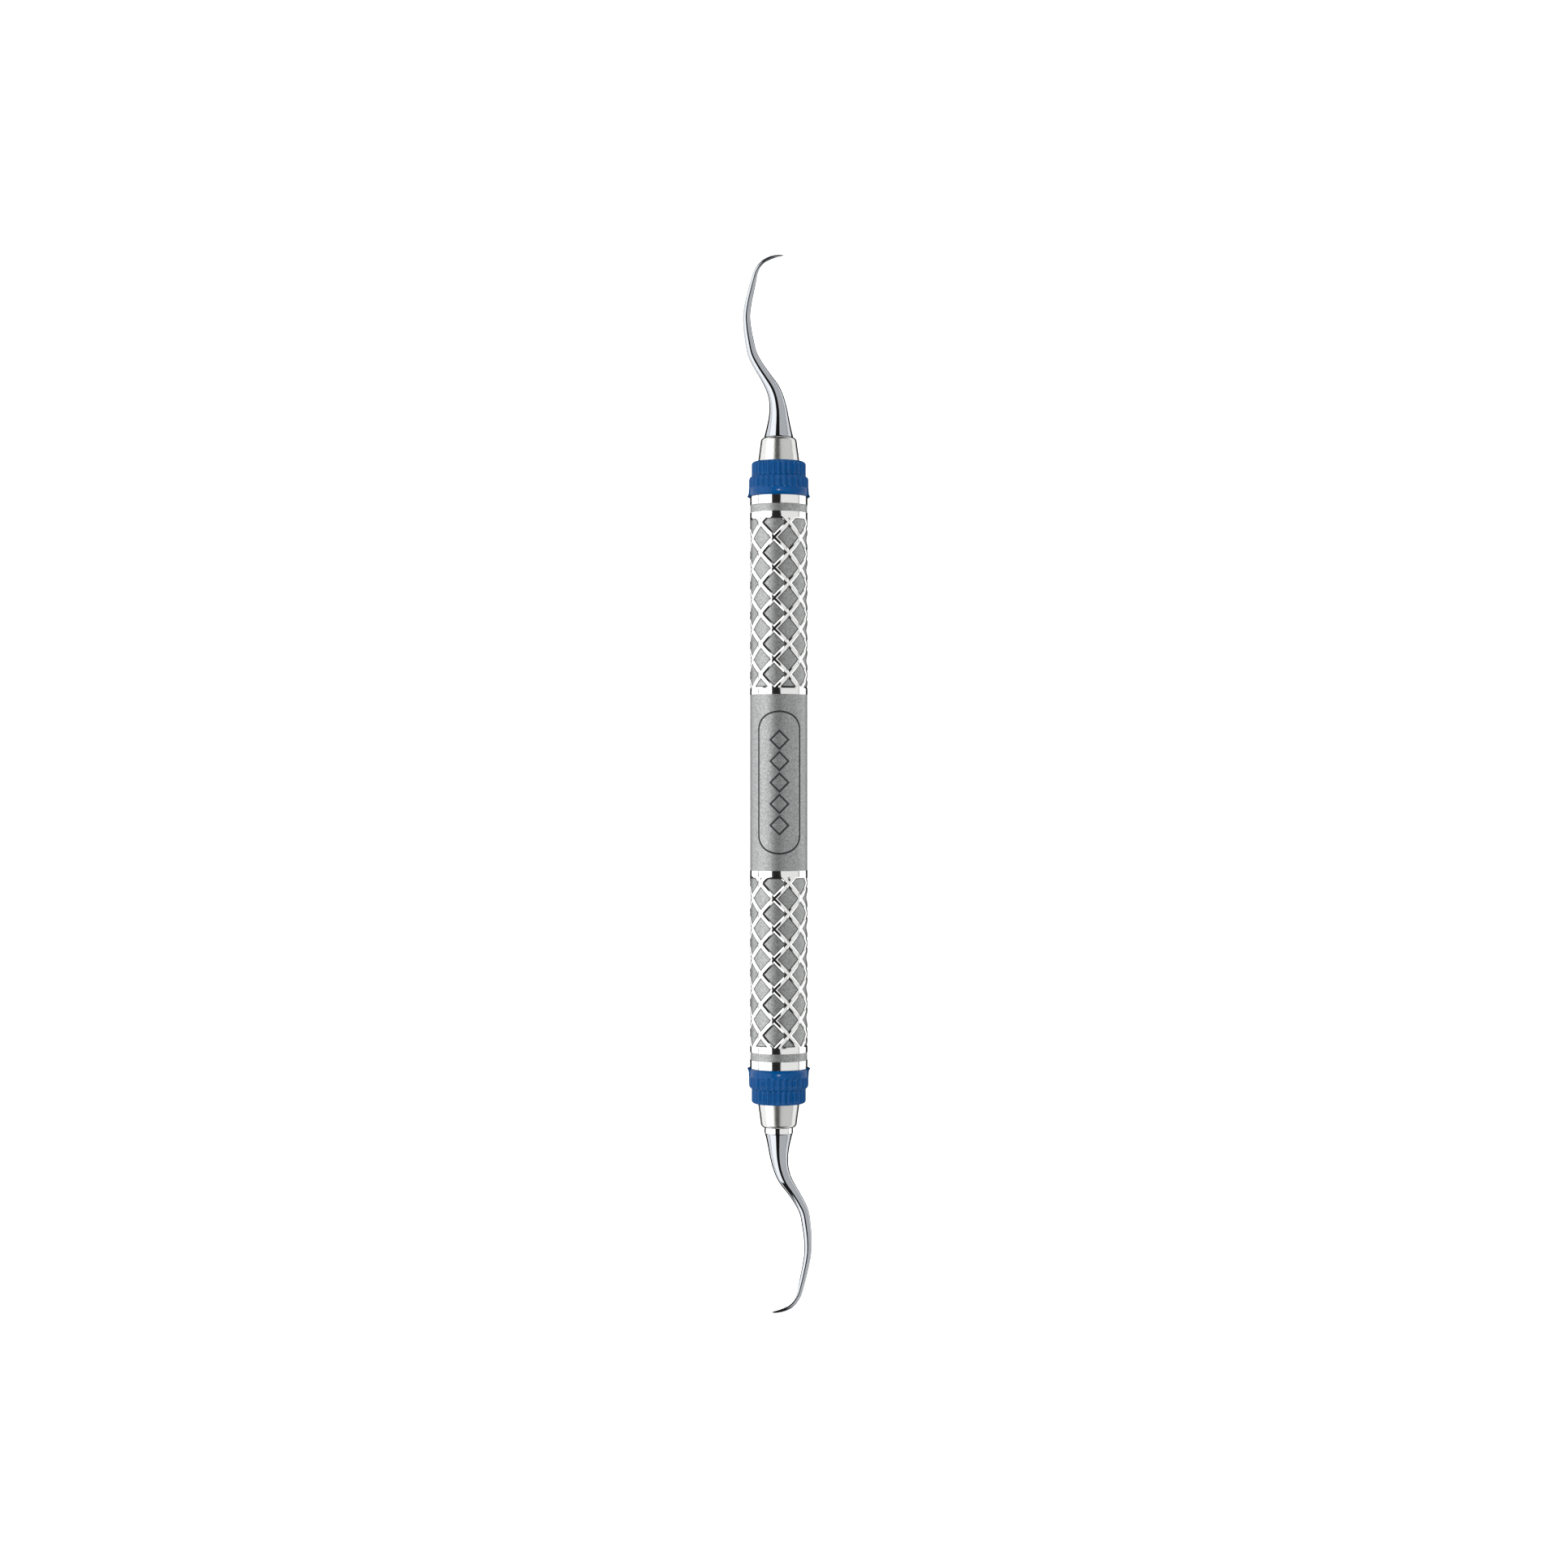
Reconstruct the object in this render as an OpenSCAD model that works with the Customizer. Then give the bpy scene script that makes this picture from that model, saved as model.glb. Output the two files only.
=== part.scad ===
// Double-ended hand scaler with a hollow knurled handle.
// The handle's axis is Y and the origin is its middle. +Z is up as the scaler lies.
// Everything at the lower end (-Y) is the upper end turned through the origin,
// so the two tips are a left- and right-handed pair.

/* [Handle tube] */
// Outside diameter of the tube
tube_d = 9.525; // [9.4:0.025:9.6]
// Bore of the tube
bore_d = 8; // [7.2:0.1:8.2]
// Length of the tube
tube_len = 95; // [94.6:0.1:95.4]
// Length of the blasted zone in the middle
centre_len = 29; // [26:0.5:30]
// Depth of the blasted zone below the polished bands
centre_depth = 0.03; // [0.02:0.01:0.1]
// Outer edge of each knurl, from the middle
knurl_end = 43.6; // [40:0.1:44]
// Width of the polished bands on each side of a blasted or knurled zone
bright_band = 1; // [0.6:0.1:1.5]
// Gap between each knurl and the narrow blasted groove beyond it
groove_gap = 0.9; // [0.5:0.1:1]
// Width of the narrow blasted groove near each ring
groove_w = 1.3; // [0.8:0.1:1.4]
// Depth of that groove
groove_depth = 0.06; // [0.03:0.01:0.15]

/* [Knurl] */
// Number of knurl columns around the tube
knurl_columns = 12; // [10:2:16]
// Width of the ridges between the pockets
ridge_w = 0.72; // [0.5:0.02:1]
// Depth of the pockets
pocket_depth = 0.28; // [0.15:0.01:0.4]
// Turn of the first column from the top of the handle
knurl_turn = -9.2; // [-15:0.1:15]
// Height of a crossing of the first column in the upper knurl
upper_crossing = 30.2; // [28:0.1:32]
// Height of a crossing of the first column in the lower knurl
lower_crossing = -29; // [-32:0.1:-28]

/* [Engraving] */
// Length of the engraved outline
outline_len = 23.3; // [20:0.1:25]
// Width of the outline, measured straight across
outline_w = 6.75; // [5:0.05:7.5]
// Height of the outline's curved ends
outline_end = 2.75; // [2:0.05:3.5]
// Width of the engraved line
line_w = 0.3; // [0.15:0.05:0.4]
// Depth of the engraved line
line_depth = 0.15; // [0.08:0.01:0.25]
// Number of small diamonds inside the outline
diamonds = 5; // [3:1:5]
// Half diagonal of a diamond
diamond_r = 1.5; // [1:0.05:1.7]

/* [End cones] */
// Height of the cone's nose, from the handle's middle
nose_y = 57; // [56.5:0.1:57.4]
// Diameter of the taper where it leaves the ring
taper_d = 6.9; // [6.7:0.1:7.2]
// Diameter at the narrow end of the taper
shoulder_d = 6; // [5.6:0.1:6.2]
// Height of the rounded shoulder
shoulder_h = 0.75; // [0.4:0.05:1]
// Diameter of the nose
nose_d = 4.75; // [4.4:0.05:4.9]
// Length of the neck between the lower nose and its shank
lower_neck = 0.9; // [0.3:0.1:1.2]
// Diameter of the tang and its bore
tang_d = 3.2; // [2.5:0.1:3.4]
// Length of the tang inside the cone
tang_len = 12; // [10:0.5:13]
// Length of the cone's spigot inside the tube
spigot_len = 6; // [5:0.5:10]
// Diameter of the lightening bore in the back of the spigot
back_bore_d = 5.2; // [4:0.1:6]

/* [Grip rings] */
// Height of the ring's skirt edge, from the handle's middle
ring_y0 = 47.2; // [46.5:0.1:47.3]
// Height of the ring's outer end
ring_y1 = 53; // [52.5:0.1:53.5]
// Diameter of the flared lip
lip_d = 10.4; // [10.1:0.1:10.8]
// Diameter of the wide tier
wide_d = 9.9; // [9.8:0.05:10]
// Diameter of the narrow tier
narrow_d = 9; // [8.6:0.05:9.4]
// Number of flutes around each tier
flutes = 30; // [20:2:36]
// Width of a flute
flute_w = 0.44; // [0.3:0.02:0.6]

/* [Tips] */
// How much further out the lower tip sits than the upper one
lower_shift = 0.4; // [0:0.1:0.8]
// How far the lower tip leans back towards the axis, per millimetre of its bend
lower_lean = 0.05; // [0:0.01:0.08]

/* [Hidden] */
$fn = 96;

STEEL = [0.72, 0.72, 0.73];
BRIGHT_STEEL = [0.84, 0.85, 0.87];
SATIN_STEEL = [0.66, 0.66, 0.65];
RING_BLUE = [0.04, 0.31, 0.65];

// How far a cut runs past the surface it opens.
over = 1;

tube_r = tube_d / 2;
tube_end = tube_len / 2;
centre_r = tube_r - centre_depth;
centre_end = centre_len / 2;
knurl_start = centre_end + bright_band;
knurl_mid = (knurl_start + knurl_end) / 2;
knurl_len = knurl_end - knurl_start;
groove_y = knurl_end + groove_gap;

// Helices at 45 degrees: one pitch is the way around two columns.
knurl_pitch = PI * tube_d / (knurl_columns / 2);
column_step = 360 / knurl_columns;
pocket_r = knurl_pitch / 2 - ridge_w / sqrt(2);
pocket_core = tube_r - pocket_depth;
pocket_rows = 4;
// A pocket that the knurl's edge would cut down to less than this is left out.
least_pocket = 0.5;

outline_turn = 1.5;
outline_steps = 12;
diamond_step = 3.5;

spigot_r = bore_d / 2;
spigot_start = tube_end - spigot_len;
spigot_chamfer = 0.3;
flange_r = 4.3;
flange_end = tube_end + 0.6;
seat_r = 3.25;
bead_r = 3.55;
bead_y = 50.15;
bead_flat = 0.25;
bead_half = 0.55;
tang_start = nose_y - tang_len;
tang_gap = 0.5;
tang_root = 1.4;
shoulder_steps = 6;

flute_r = flute_w / 2;
flare_h = 0.45;
flare_foot = 0.05;
skirt_h = 1.2;
flute_gap = 1.5;
wide_top = 50.1;
wide_draft = 0.06;
narrow_start = 50.75;
step_w = 0.15;
step_h = 0.2;
edge_r = 0.55;
edge_steps = 5;

// Centreline of a tip and the diameter there: [x, y, z, diameter, flatness].
// Flatness 0 is a round shank and 1 is the half-round blade.
shank_base_d = 4.9;
shank_taper = 0.45;
shank_path = [
    [0, 58.5, 0, 4.15, 0],
    [0, 60, 0, 3.52, 0],
    [-0.08, 61.6, 0, 3.02, 0],
    [-0.4, 63.5, 0.1, 2.58, 0],
    [-1.03, 65.2, 0.2, 2.27, 0],
    [-2.15, 67, 0.4, 1.88, 0],
    [-3.45, 69, 0.65, 1.7, 0],
    [-4.37, 70.8, 0.85, 1.61, 0],
    [-4.86, 73, 1, 1.5, 0],
    [-5.18, 75, 1.05, 1.37, 0],
    [-5.3, 77, 1, 1.25, 0],
    [-5.05, 79, 0.8, 1.18, 0],
    [-4.58, 81.2, 0.5, 1.1, 0],
    [-4.2, 82.8, 0.3, 1.03, 0.1],
    [-3.85, 84.25, 0.15, 0.98, 0.4],
    [-3.3, 85.4, 0.05, 1, 0.85],
    [-2.5, 86.25, 0, 1.03, 1],
    [-1.57, 86.75, 0, 0.97, 1],
    [-0.73, 87.02, 0, 0.84, 1],
    [0, 87.17, 0, 0.64, 1],
    [0.46, 87.2, 0, 0.46, 1],
    [0.72, 87.2, 0, 0.28, 1],
    [0.8, 87.2, 0, 0.08, 1]
];
bend_y = 68;
bend_h = 9;
span_steps = 3;
tip_sides = 24;
face_keep = 0.1;

// Point at t between b and c, on the smooth curve through a, b, c and d.
function curve(a, b, c, d, t) =
    0.5 * (2 * b + (c - a) * t + (2 * a - 5 * b + 4 * c - d) * t * t
           + (3 * b - a - 3 * c + d) * t * t * t);

// Stations of a tip, from its seat on the neck to its toe.
function stations(neck, shift) = concat(
    [[0, nose_y + neck, 0, shank_base_d - shank_taper * (neck - shift), 0]],
    [for (s = shank_path) [s[0], s[1] + shift, s[2], s[3], s[4]]]
);

// The same stations leaned towards the axis and joined by smooth curves.
function smooth(p, lean) = [
    for (i = [0:len(p) - 2], k = [0:span_steps - 1])
        let (s = curve(p[max(i - 1, 0)], p[i], p[i + 1], p[min(i + 2, len(p) - 1)], k / span_steps))
        lean_point(s, lean),
    lean_point(p[len(p) - 1], lean)
];

function lean_point(s, lean) =
    [s[0] + lean * min(max(s[1] - bend_y, 0), bend_h), s[1], s[2], s[3], s[4]];

function unit(v) = v / norm(v);
function place(s) = [s[0], s[1], s[2]];

// One ring of the tip: round, or cut flat on the inside of the bend.
function tip_ring(s, along) =
    let (side = unit([0, 0, 1] - along[2] * along), face = cross(along, side),
         r = s[3] / 2, cut = r * (1 - (1 - face_keep) * s[4]), shift = (r - cut) / 2)
    [for (j = [0:tip_sides - 1])
        let (a = 360 * (j + 0.5) / tip_sides)
        place(s) + face * (min(r * cos(a), cut) + shift) + side * r * sin(a)];

// Half-ellipse ends on straight sides, as points around the outline.
function outline(half_w, half_len, end_h) = concat(
    [for (i = [0:outline_steps]) let (a = 180 * i / outline_steps)
        [half_w * cos(a), half_len - end_h + end_h * sin(a)]],
    [for (i = [0:outline_steps]) let (a = 180 + 180 * i / outline_steps)
        [half_w * cos(a), end_h - half_len + end_h * sin(a)]]
);

function diamond(r) = [[r, 0], [0, r], [-r, 0], [0, -r]];

module along_y() rotate([-90, 0, 0]) children();

module lower_end() rotate([0, 180, 0]) mirror([0, 1, 0]) children();

// A ring-shaped skin between two radii and two heights.
module skin(r0, r1, y0, y1)
    along_y() translate([0, 0, y0]) rotate_extrude() translate([r0, 0]) square([r1 - r0, y1 - y0]);

module pocket(turn, y)
    rotate([0, turn, 0]) translate([0, y, pocket_core - over])
        linear_extrude(pocket_depth + 2 * over) polygon(diamond(pocket_r));

module knurl(mid, crossing) intersection() {
    for (c = [0:knurl_columns - 1], n = [-pocket_rows:pocket_rows]) {
        y = crossing + (n + 0.5 + (c % 2) / 2) * knurl_pitch;
        if (abs(y - mid) < knurl_len / 2 + pocket_r - least_pocket)
            pocket(knurl_turn + c * column_step, y);
    }
    skin(pocket_core, tube_r + over, mid - knurl_len / 2, mid + knurl_len / 2);
}

module outline_line() difference() {
    polygon(outline((outline_w + line_w) / 2, (outline_len + line_w) / 2, outline_end + line_w / 2));
    polygon(outline((outline_w - line_w) / 2, (outline_len - line_w) / 2, outline_end - line_w / 2));
}

module diamond_lines()
    for (i = [0:diamonds - 1]) translate([0, (i - (diamonds - 1) / 2) * diamond_step]) difference() {
        polygon(diamond(diamond_r));
        polygon(diamond(diamond_r - line_w * sqrt(2)));
    }

module engraving() intersection() {
    rotate([0, outline_turn, 0]) linear_extrude(tube_r + over) {
        outline_line();
        diamond_lines();
    }
    skin(centre_r - line_depth, tube_r + over, -centre_end, centre_end);
}

module handle_tube() color(STEEL) difference() {
    along_y() translate([0, 0, -tube_end]) cylinder(h = tube_len, d = tube_d);
    along_y() translate([0, 0, -tube_end - over]) cylinder(h = tube_len + 2 * over, d = bore_d);
    knurl(knurl_mid, upper_crossing);
    knurl(-knurl_mid, lower_crossing);
    skin(centre_r, tube_r + over, -centre_end, centre_end);
    skin(tube_r - groove_depth, tube_r + over, groove_y, groove_y + groove_w);
    skin(tube_r - groove_depth, tube_r + over, -groove_y - groove_w, -groove_y);
    engraving();
}

module end_cone(neck) color(SATIN_STEEL) along_y() difference() {
    rotate_extrude() polygon(concat(
        [[0, spigot_start], [spigot_r - spigot_chamfer, spigot_start],
         [spigot_r, spigot_start + spigot_chamfer],
         [spigot_r, tube_end], [flange_r, tube_end], [flange_r, flange_end], [seat_r, flange_end],
         [seat_r, bead_y - bead_half], [bead_r, bead_y - bead_flat],
         [bead_r, bead_y + bead_flat], [seat_r, bead_y + bead_half],
         [seat_r, ring_y1], [taper_d / 2, ring_y1]],
        [for (i = [0:shoulder_steps]) let (a = 90 * i / shoulder_steps)
            [nose_d / 2 + (shoulder_d - nose_d) / 2 * cos(a), nose_y - shoulder_h * (1 - sin(a))]],
        neck > 0 ? [[nose_d / 2, nose_y + neck], [0, nose_y + neck]] : [[0, nose_y]]
    ));
    translate([0, 0, spigot_start - over]) {
        cylinder(h = nose_y + neck - spigot_start + 2 * over, d = tang_d);
        cylinder(h = tang_start - tang_gap - spigot_start + over, d = back_bore_d);
    }
}

module grip_ring() color(RING_BLUE) along_y() difference() {
    rotate_extrude() polygon(concat(
        [[tube_r, ring_y0], [lip_d / 2, ring_y0], [wide_d / 2 + flare_foot, ring_y0 + flare_h],
         [wide_d / 2, ring_y0 + skirt_h], [wide_d / 2 - wide_draft, wide_top],
         [narrow_d / 2 + step_w, narrow_start - step_h], [narrow_d / 2, narrow_start]],
        [for (i = [0:edge_steps]) let (a = 90 * i / edge_steps)
            [narrow_d / 2 - edge_r * (1 - cos(a)), ring_y1 - edge_r * (1 - sin(a))]],
        [[seat_r, ring_y1], [seat_r, bead_y + bead_half], [bead_r, bead_y + bead_flat],
         [bead_r, bead_y - bead_flat], [seat_r, bead_y - bead_half],
         [seat_r, flange_end], [flange_r, flange_end], [flange_r, tube_end], [tube_r, tube_end]]
    ));
    for (i = [0:flutes - 1]) rotate(i * 360 / flutes) {
        translate([wide_d / 2, 0, ring_y0 + flute_gap])
            cylinder(h = narrow_start - ring_y0, r = flute_r);
        translate([narrow_d / 2, 0, narrow_start + step_h])
            cylinder(h = ring_y1 - narrow_start + over, r = flute_r);
    }
}

module working_end(neck, shift, lean) color(BRIGHT_STEEL) {
    path = smooth(stations(neck, shift), lean);
    rings = len(path);
    heading = [for (i = [0:rings - 1])
        i == 0 ? [0, 1, 0] : unit(place(path[min(i + 1, rings - 1)]) - place(path[i - 1]))];
    points = concat([for (i = [0:rings - 1]) each tip_ring(path[i], heading[i])],
                    [place(path[0]), place(path[rings - 1])]);
    base_centre = rings * tip_sides;
    sides = [for (i = [0:rings - 2], j = [0:tip_sides - 1])
        let (a = i * tip_sides + j, b = i * tip_sides + (j + 1) % tip_sides)
        each [[a, b, b + tip_sides], [a, b + tip_sides, a + tip_sides]]];
    last = (rings - 1) * tip_sides;
    base = [for (j = [0:tip_sides - 1]) [base_centre, (j + 1) % tip_sides, j]];
    toe = [for (j = [0:tip_sides - 1]) [base_centre + 1, last + j, last + (j + 1) % tip_sides]];
    union() {
        polyhedron(points, concat(base, sides, toe));
        along_y() translate([0, 0, tang_start]) cylinder(h = tang_len + neck + tang_root, d = tang_d);
    }
}

module upper_end_cone() end_cone(0);
module lower_end_cone() lower_end() end_cone(lower_neck);
module upper_grip_ring() grip_ring();
module lower_grip_ring() lower_end() grip_ring();
module upper_working_end() working_end(0, 0, 0);
module lower_working_end() lower_end() working_end(lower_neck, lower_shift, lower_lean);

handle_tube();
upper_end_cone();
lower_end_cone();
upper_grip_ring();
lower_grip_ring();
upper_working_end();
lower_working_end();
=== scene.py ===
"""Double-ended hand scaler on a pale studio floor, laid out as an add-on and run as a script."""

import math

import bmesh
import bpy
import numpy as np
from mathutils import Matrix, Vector


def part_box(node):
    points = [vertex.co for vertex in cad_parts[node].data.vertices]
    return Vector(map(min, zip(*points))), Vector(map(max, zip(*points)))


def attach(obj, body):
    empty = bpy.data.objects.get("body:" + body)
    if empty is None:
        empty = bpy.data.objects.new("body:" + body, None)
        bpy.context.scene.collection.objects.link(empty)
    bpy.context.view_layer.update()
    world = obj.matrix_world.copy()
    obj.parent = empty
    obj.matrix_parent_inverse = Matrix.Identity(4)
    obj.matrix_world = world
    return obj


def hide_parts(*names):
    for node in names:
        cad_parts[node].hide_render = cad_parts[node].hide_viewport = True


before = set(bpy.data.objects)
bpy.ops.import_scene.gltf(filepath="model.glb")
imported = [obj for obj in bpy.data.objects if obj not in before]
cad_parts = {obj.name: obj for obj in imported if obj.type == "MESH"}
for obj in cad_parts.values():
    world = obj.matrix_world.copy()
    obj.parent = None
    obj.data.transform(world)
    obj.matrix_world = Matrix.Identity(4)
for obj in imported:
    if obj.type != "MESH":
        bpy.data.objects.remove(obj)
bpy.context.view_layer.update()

bl_info = {
    "name": "Hand Scaler",
    "version": (1, 0, 0),
    "blender": (4, 5, 0),
    "location": "View3D > Sidebar > Scaler",
    "description": "Builds a double-ended hand scaler and its studio around the packed parts",
    "category": "Object",
}

MM = 0.001
BODY = "root"
ENDS = ("upper", "lower")

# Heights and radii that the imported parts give. The handle's axis is Y and its middle is the origin.
TUBE_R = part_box("handle_tube")[1][2]
TUBE_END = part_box("handle_tube")[1][1]
RING_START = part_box("upper_grip_ring")[0][1]
RING_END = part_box("upper_grip_ring")[1][1]
LIP_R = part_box("upper_grip_ring")[1][2]
SPIGOT_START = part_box("upper_end_cone")[0][1]
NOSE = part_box("upper_end_cone")[1][1]
FLANGE_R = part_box("upper_end_cone")[1][2]
LOWER_NECK = -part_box("lower_end_cone")[0][1] - NOSE
TANG_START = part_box("upper_working_end")[0][1]
REST_Z = min(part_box("upper_grip_ring")[0][2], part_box("lower_grip_ring")[0][2])


# ---------------------------------------------------------------- settings


def hex_to_linear(code):
    """A linear colour from an sRGB hex code such as C8CACC."""
    channels = [int(code[i : i + 2], 16) / 255 for i in (0, 2, 4)]
    return [c / 12.92 if c <= 0.04045 else ((c + 0.055) / 1.055) ** 2.4 for c in channels]


def length(name, description, default):
    """A setting that holds a length."""
    return bpy.props.FloatProperty(
        name=name,
        description=description,
        default=default,
        unit="LENGTH",
        subtype="DISTANCE",
        precision=5,
    )


def angle(name, description, degrees):
    """A setting that holds an angle."""
    return bpy.props.FloatProperty(
        name=name, description=description, default=math.radians(degrees), subtype="ANGLE"
    )


def number(name, description, default):
    """A setting that holds a plain number."""
    return bpy.props.FloatProperty(name=name, description=description, default=default)


def count(name, description, default, low, high):
    """A setting that holds a whole number."""
    return bpy.props.IntProperty(
        name=name, description=description, default=default, min=low, max=high
    )


def colour(name, description, code):
    """A setting that holds a colour, from its hex code."""
    return bpy.props.FloatVectorProperty(
        name=name,
        description=description,
        default=hex_to_linear(code),
        subtype="COLOR",
        size=3,
        min=0,
        max=1,
    )


class ScalerHandleSizes(bpy.types.PropertyGroup):
    """Sizes of the handle tube."""

    bore_r: length("Bore radius", "Radius of the tube's bore", 4.0 * MM)
    centre_end: length("Middle zone", "Half length of the blasted middle zone", 14.5 * MM)
    centre_depth: length("Middle depth", "How far the middle zone sits below the bands", 0.03 * MM)
    knurl_start: length("Knurl start", "Inner edge of each knurl, from the middle", 15.5 * MM)
    knurl_end: length("Knurl end", "Outer edge of each knurl, from the middle", 43.6 * MM)
    groove_start: length("Groove start", "Inner edge of the narrow blasted groove", 44.5 * MM)
    groove_end: length("Groove end", "Outer edge of the narrow blasted groove", 45.8 * MM)
    groove_depth: length("Groove depth", "Depth of the narrow blasted groove", 0.06 * MM)
    columns: count("Knurl columns", "Columns of crossings around the tube", 12, 8, 24)
    column_turn: angle("Knurl turn", "Turn of the first column of crossings from the top", -9.2)
    ridge_w: length("Ridge width", "Width of the flat on a knurl ridge", 0.392 * MM)
    wall_w: length("Wall width", "Width of a pocket's sloping wall", 0.294 * MM)
    # Painted shade: a darker line at the foot of each pocket's wall, standing in for the shade in the
    # pocket's corner.
    painted_shade_w: length("Painted shade line", "Width of the darker line at the foot of a pocket's wall", 0.1 * MM)
    pocket_depth: length("Pocket depth", "Depth of the knurl's pockets", 0.17 * MM)
    end_blend: length("End blend", "How softly pockets are rounded where the knurl ends", 0.3 * MM)
    upper_crossing: length("Upper crossing", "Height of a crossing of the first column", 30.2 * MM)
    lower_crossing: length("Lower crossing", "Height of a crossing of the first column", -29.0 * MM)


class ScalerEngravingSizes(bpy.types.PropertyGroup):
    """Sizes of the engraved outline and of the diamonds inside it."""

    half_len: length("Half length", "Half length of the engraved outline", 11.65 * MM)
    half_arc: length("Half width", "Half width of the outline, around the tube", 3.74 * MM)
    end_h: length("End height", "Height of the outline's curved ends", 3.0 * MM)
    line_w: length("Line width", "Width of the engraved line", 0.3 * MM)
    line_depth: length("Line depth", "Depth of the engraved line", 0.15 * MM)
    turn: angle("Turn", "Turn of the outline from the top", 1.5)
    diamonds: count("Diamonds", "Diamonds inside the outline", 5, 1, 6)
    diamond_r: length("Diamond size", "Half diagonal of a diamond", 1.5 * MM)
    diamond_step: length("Diamond step", "Distance from one diamond to the next", 3.5 * MM)


class ScalerRingSizes(bpy.types.PropertyGroup):
    """Sizes of the grip rings."""

    ribs: count("Ribs", "Ribs around each tier", 30, 12, 48)
    rib_h: length("Rib height", "Height of the ribs above the valleys between them", 0.3 * MM)
    wide_r: length("Wide tier radius", "Radius over the ribs of the wide tier", 4.94 * MM)
    narrow_r: length("Narrow tier radius", "Radius over the ribs of the narrow tier", 4.5 * MM)
    seat_r: length("Seat radius", "Radius of the ring's bore on the cone", 3.25 * MM)
    bead_r: length("Bead radius", "Radius of the retaining bead", 3.55 * MM)


class ScalerTipSizes(bpy.types.PropertyGroup):
    """Sizes of the working ends and the cones that hold them."""

    tang_r: length("Tang radius", "Radius of the tang in its bore", 1.6 * MM)
    back_bore_r: length("Back bore radius", "Radius of the lightening bore in the cone", 2.6 * MM)
    taper_r: length("Taper radius", "Radius of the cone where it leaves the ring", 3.45 * MM)
    shoulder_r: length("Shoulder radius", "Radius at the narrow end of the taper", 3.0 * MM)
    shoulder_h: length("Shoulder height", "Height of the cone's rounded shoulder", 0.75 * MM)
    nose_r: length("Nose radius", "Radius of the cone's nose and neck", 2.375 * MM)
    lower_shift: length("Lower shift", "How much further out the lower tip sits", 0.4 * MM)
    lower_lean: number("Lower lean", "Lean of the lower tip per length of its bend", 0.05)


class ScalerFinishes(bpy.types.PropertyGroup):
    """Colours of the finishes."""

    polished: colour("Polished steel", "Polished bands and ridges", "CECECD")
    mirror: colour("Mirror steel", "Mirror-polished tips", "979A9E")
    blasted: colour("Blasted steel", "Bead-blasted pockets and middle", "8A8B8B")
    satin: colour("Satin steel", "Fine-turned cones", "B0B0AE")
    engraved: colour("Engraved line", "Darkened steel in the engraved lines", "2A2F31")
    silicone: colour("Silicone", "Moulded blue silicone", "003766")
    floor: colour("Floor", "Pale studio floor", "F4F4F4")


class ScalerStage(bpy.types.PropertyGroup):
    """Camera and lights."""

    frame_w: length("Frame width", "Width that the camera covers at the handle's axis", 259.3 * MM)
    camera_h: length("Camera height", "Height of the camera over the handle's axis", 443 * MM)
    camera_x: length("Camera across", "Camera position across the handle", 0.87 * MM)
    camera_y: length("Camera along", "Camera position along the handle", -0.24 * MM)
    box_distance: length("Softbox distance", "Distance of the softboxes' middles", 0.55)
    box_len: length("Softbox length", "Length of the softboxes along the handle", 1.3)
    left_radiance: number("Left light", "Brightness of the left softbox", 2.8)
    right_radiance: number("Right light", "Brightness of the right softbox", 1.2)
    floor_radiance: number("Floor lights", "Brightness of the lights that whiten the floor", 2.0)
    glint_radiance: number("Glint lights", "Brightness of the small lights on the rings", 150.0)
    room: number("Room", "Brightness of the dark room", 0.03)
    backdrop: number("Backdrop", "Brightness of the backdrop that only the camera sees", 0.72)
    # The black flag is a painted reflection: a card that only the steel's reflections see, standing
    # in for the shade under the handle.
    flag_w: length("Flag width", "Width of the black flag that darkens the steel's edges", 21 * MM)


# ---------------------------------------------------------------- node helpers


def add(tree, kind, values=None, **settings):
    """Adds a node, applies its settings, and sets or links its inputs by name or number."""
    node = tree.nodes.new(kind)
    for key, value in settings.items():
        setattr(node, key, value)
    for key, value in (values or {}).items():
        if isinstance(value, bpy.types.NodeSocket):
            tree.links.new(value, node.inputs[key])
        else:
            node.inputs[key].default_value = value
    return node


def per(size):
    """Texture scale for features of that size."""
    return 1 / size


# ---------------------------------------------------------------- finishes


def new_finish(name, base, **shader):
    """A material with one Principled shader, whose fixed numbers sit on its own sockets."""
    material = bpy.data.materials.get(name)
    if material:
        return material, None, None
    material = bpy.data.materials.new(name)
    material.use_nodes = True
    tree = material.node_tree
    tree.nodes.clear()
    values = {"Base Color": (*base, 1)}
    values.update({key.replace("_", " "): value for key, value in shader.items()})
    principled = add(tree, "ShaderNodeBsdfPrincipled", values)
    add(tree, "ShaderNodeOutputMaterial", {"Surface": principled.outputs[0]})
    return material, tree, principled


def grain(tree, size, detail=2.0, stretch=None):
    """Noise fixed to the piece, with features of that size, stretched along its axes if asked."""
    place = add(tree, "ShaderNodeTexCoord").outputs["Object"]
    if stretch:
        place = add(tree, "ShaderNodeMapping", {"Vector": place, "Scale": stretch}).outputs[0]
    values = {"Vector": place, "Scale": per(size), "Detail": detail}
    return add(tree, "ShaderNodeTexNoise", values).outputs[0]


def mottle(tree, principled, base, size, light, dark):
    """Small variation of a finish's colour, from dark to light times its own colour."""
    noise = grain(tree, size, detail=3.0)
    ramp = add(tree, "ShaderNodeValToRGB", {"Fac": noise})
    ramp.color_ramp.elements[0].position = 0.35
    ramp.color_ramp.elements[1].position = 0.65
    ramp.color_ramp.elements[0].color = (*[c * dark for c in base], 1)
    ramp.color_ramp.elements[1].color = (*[min(c * light, 1) for c in base], 1)
    tree.links.new(ramp.outputs[0], principled.inputs["Base Color"])
    return noise


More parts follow.
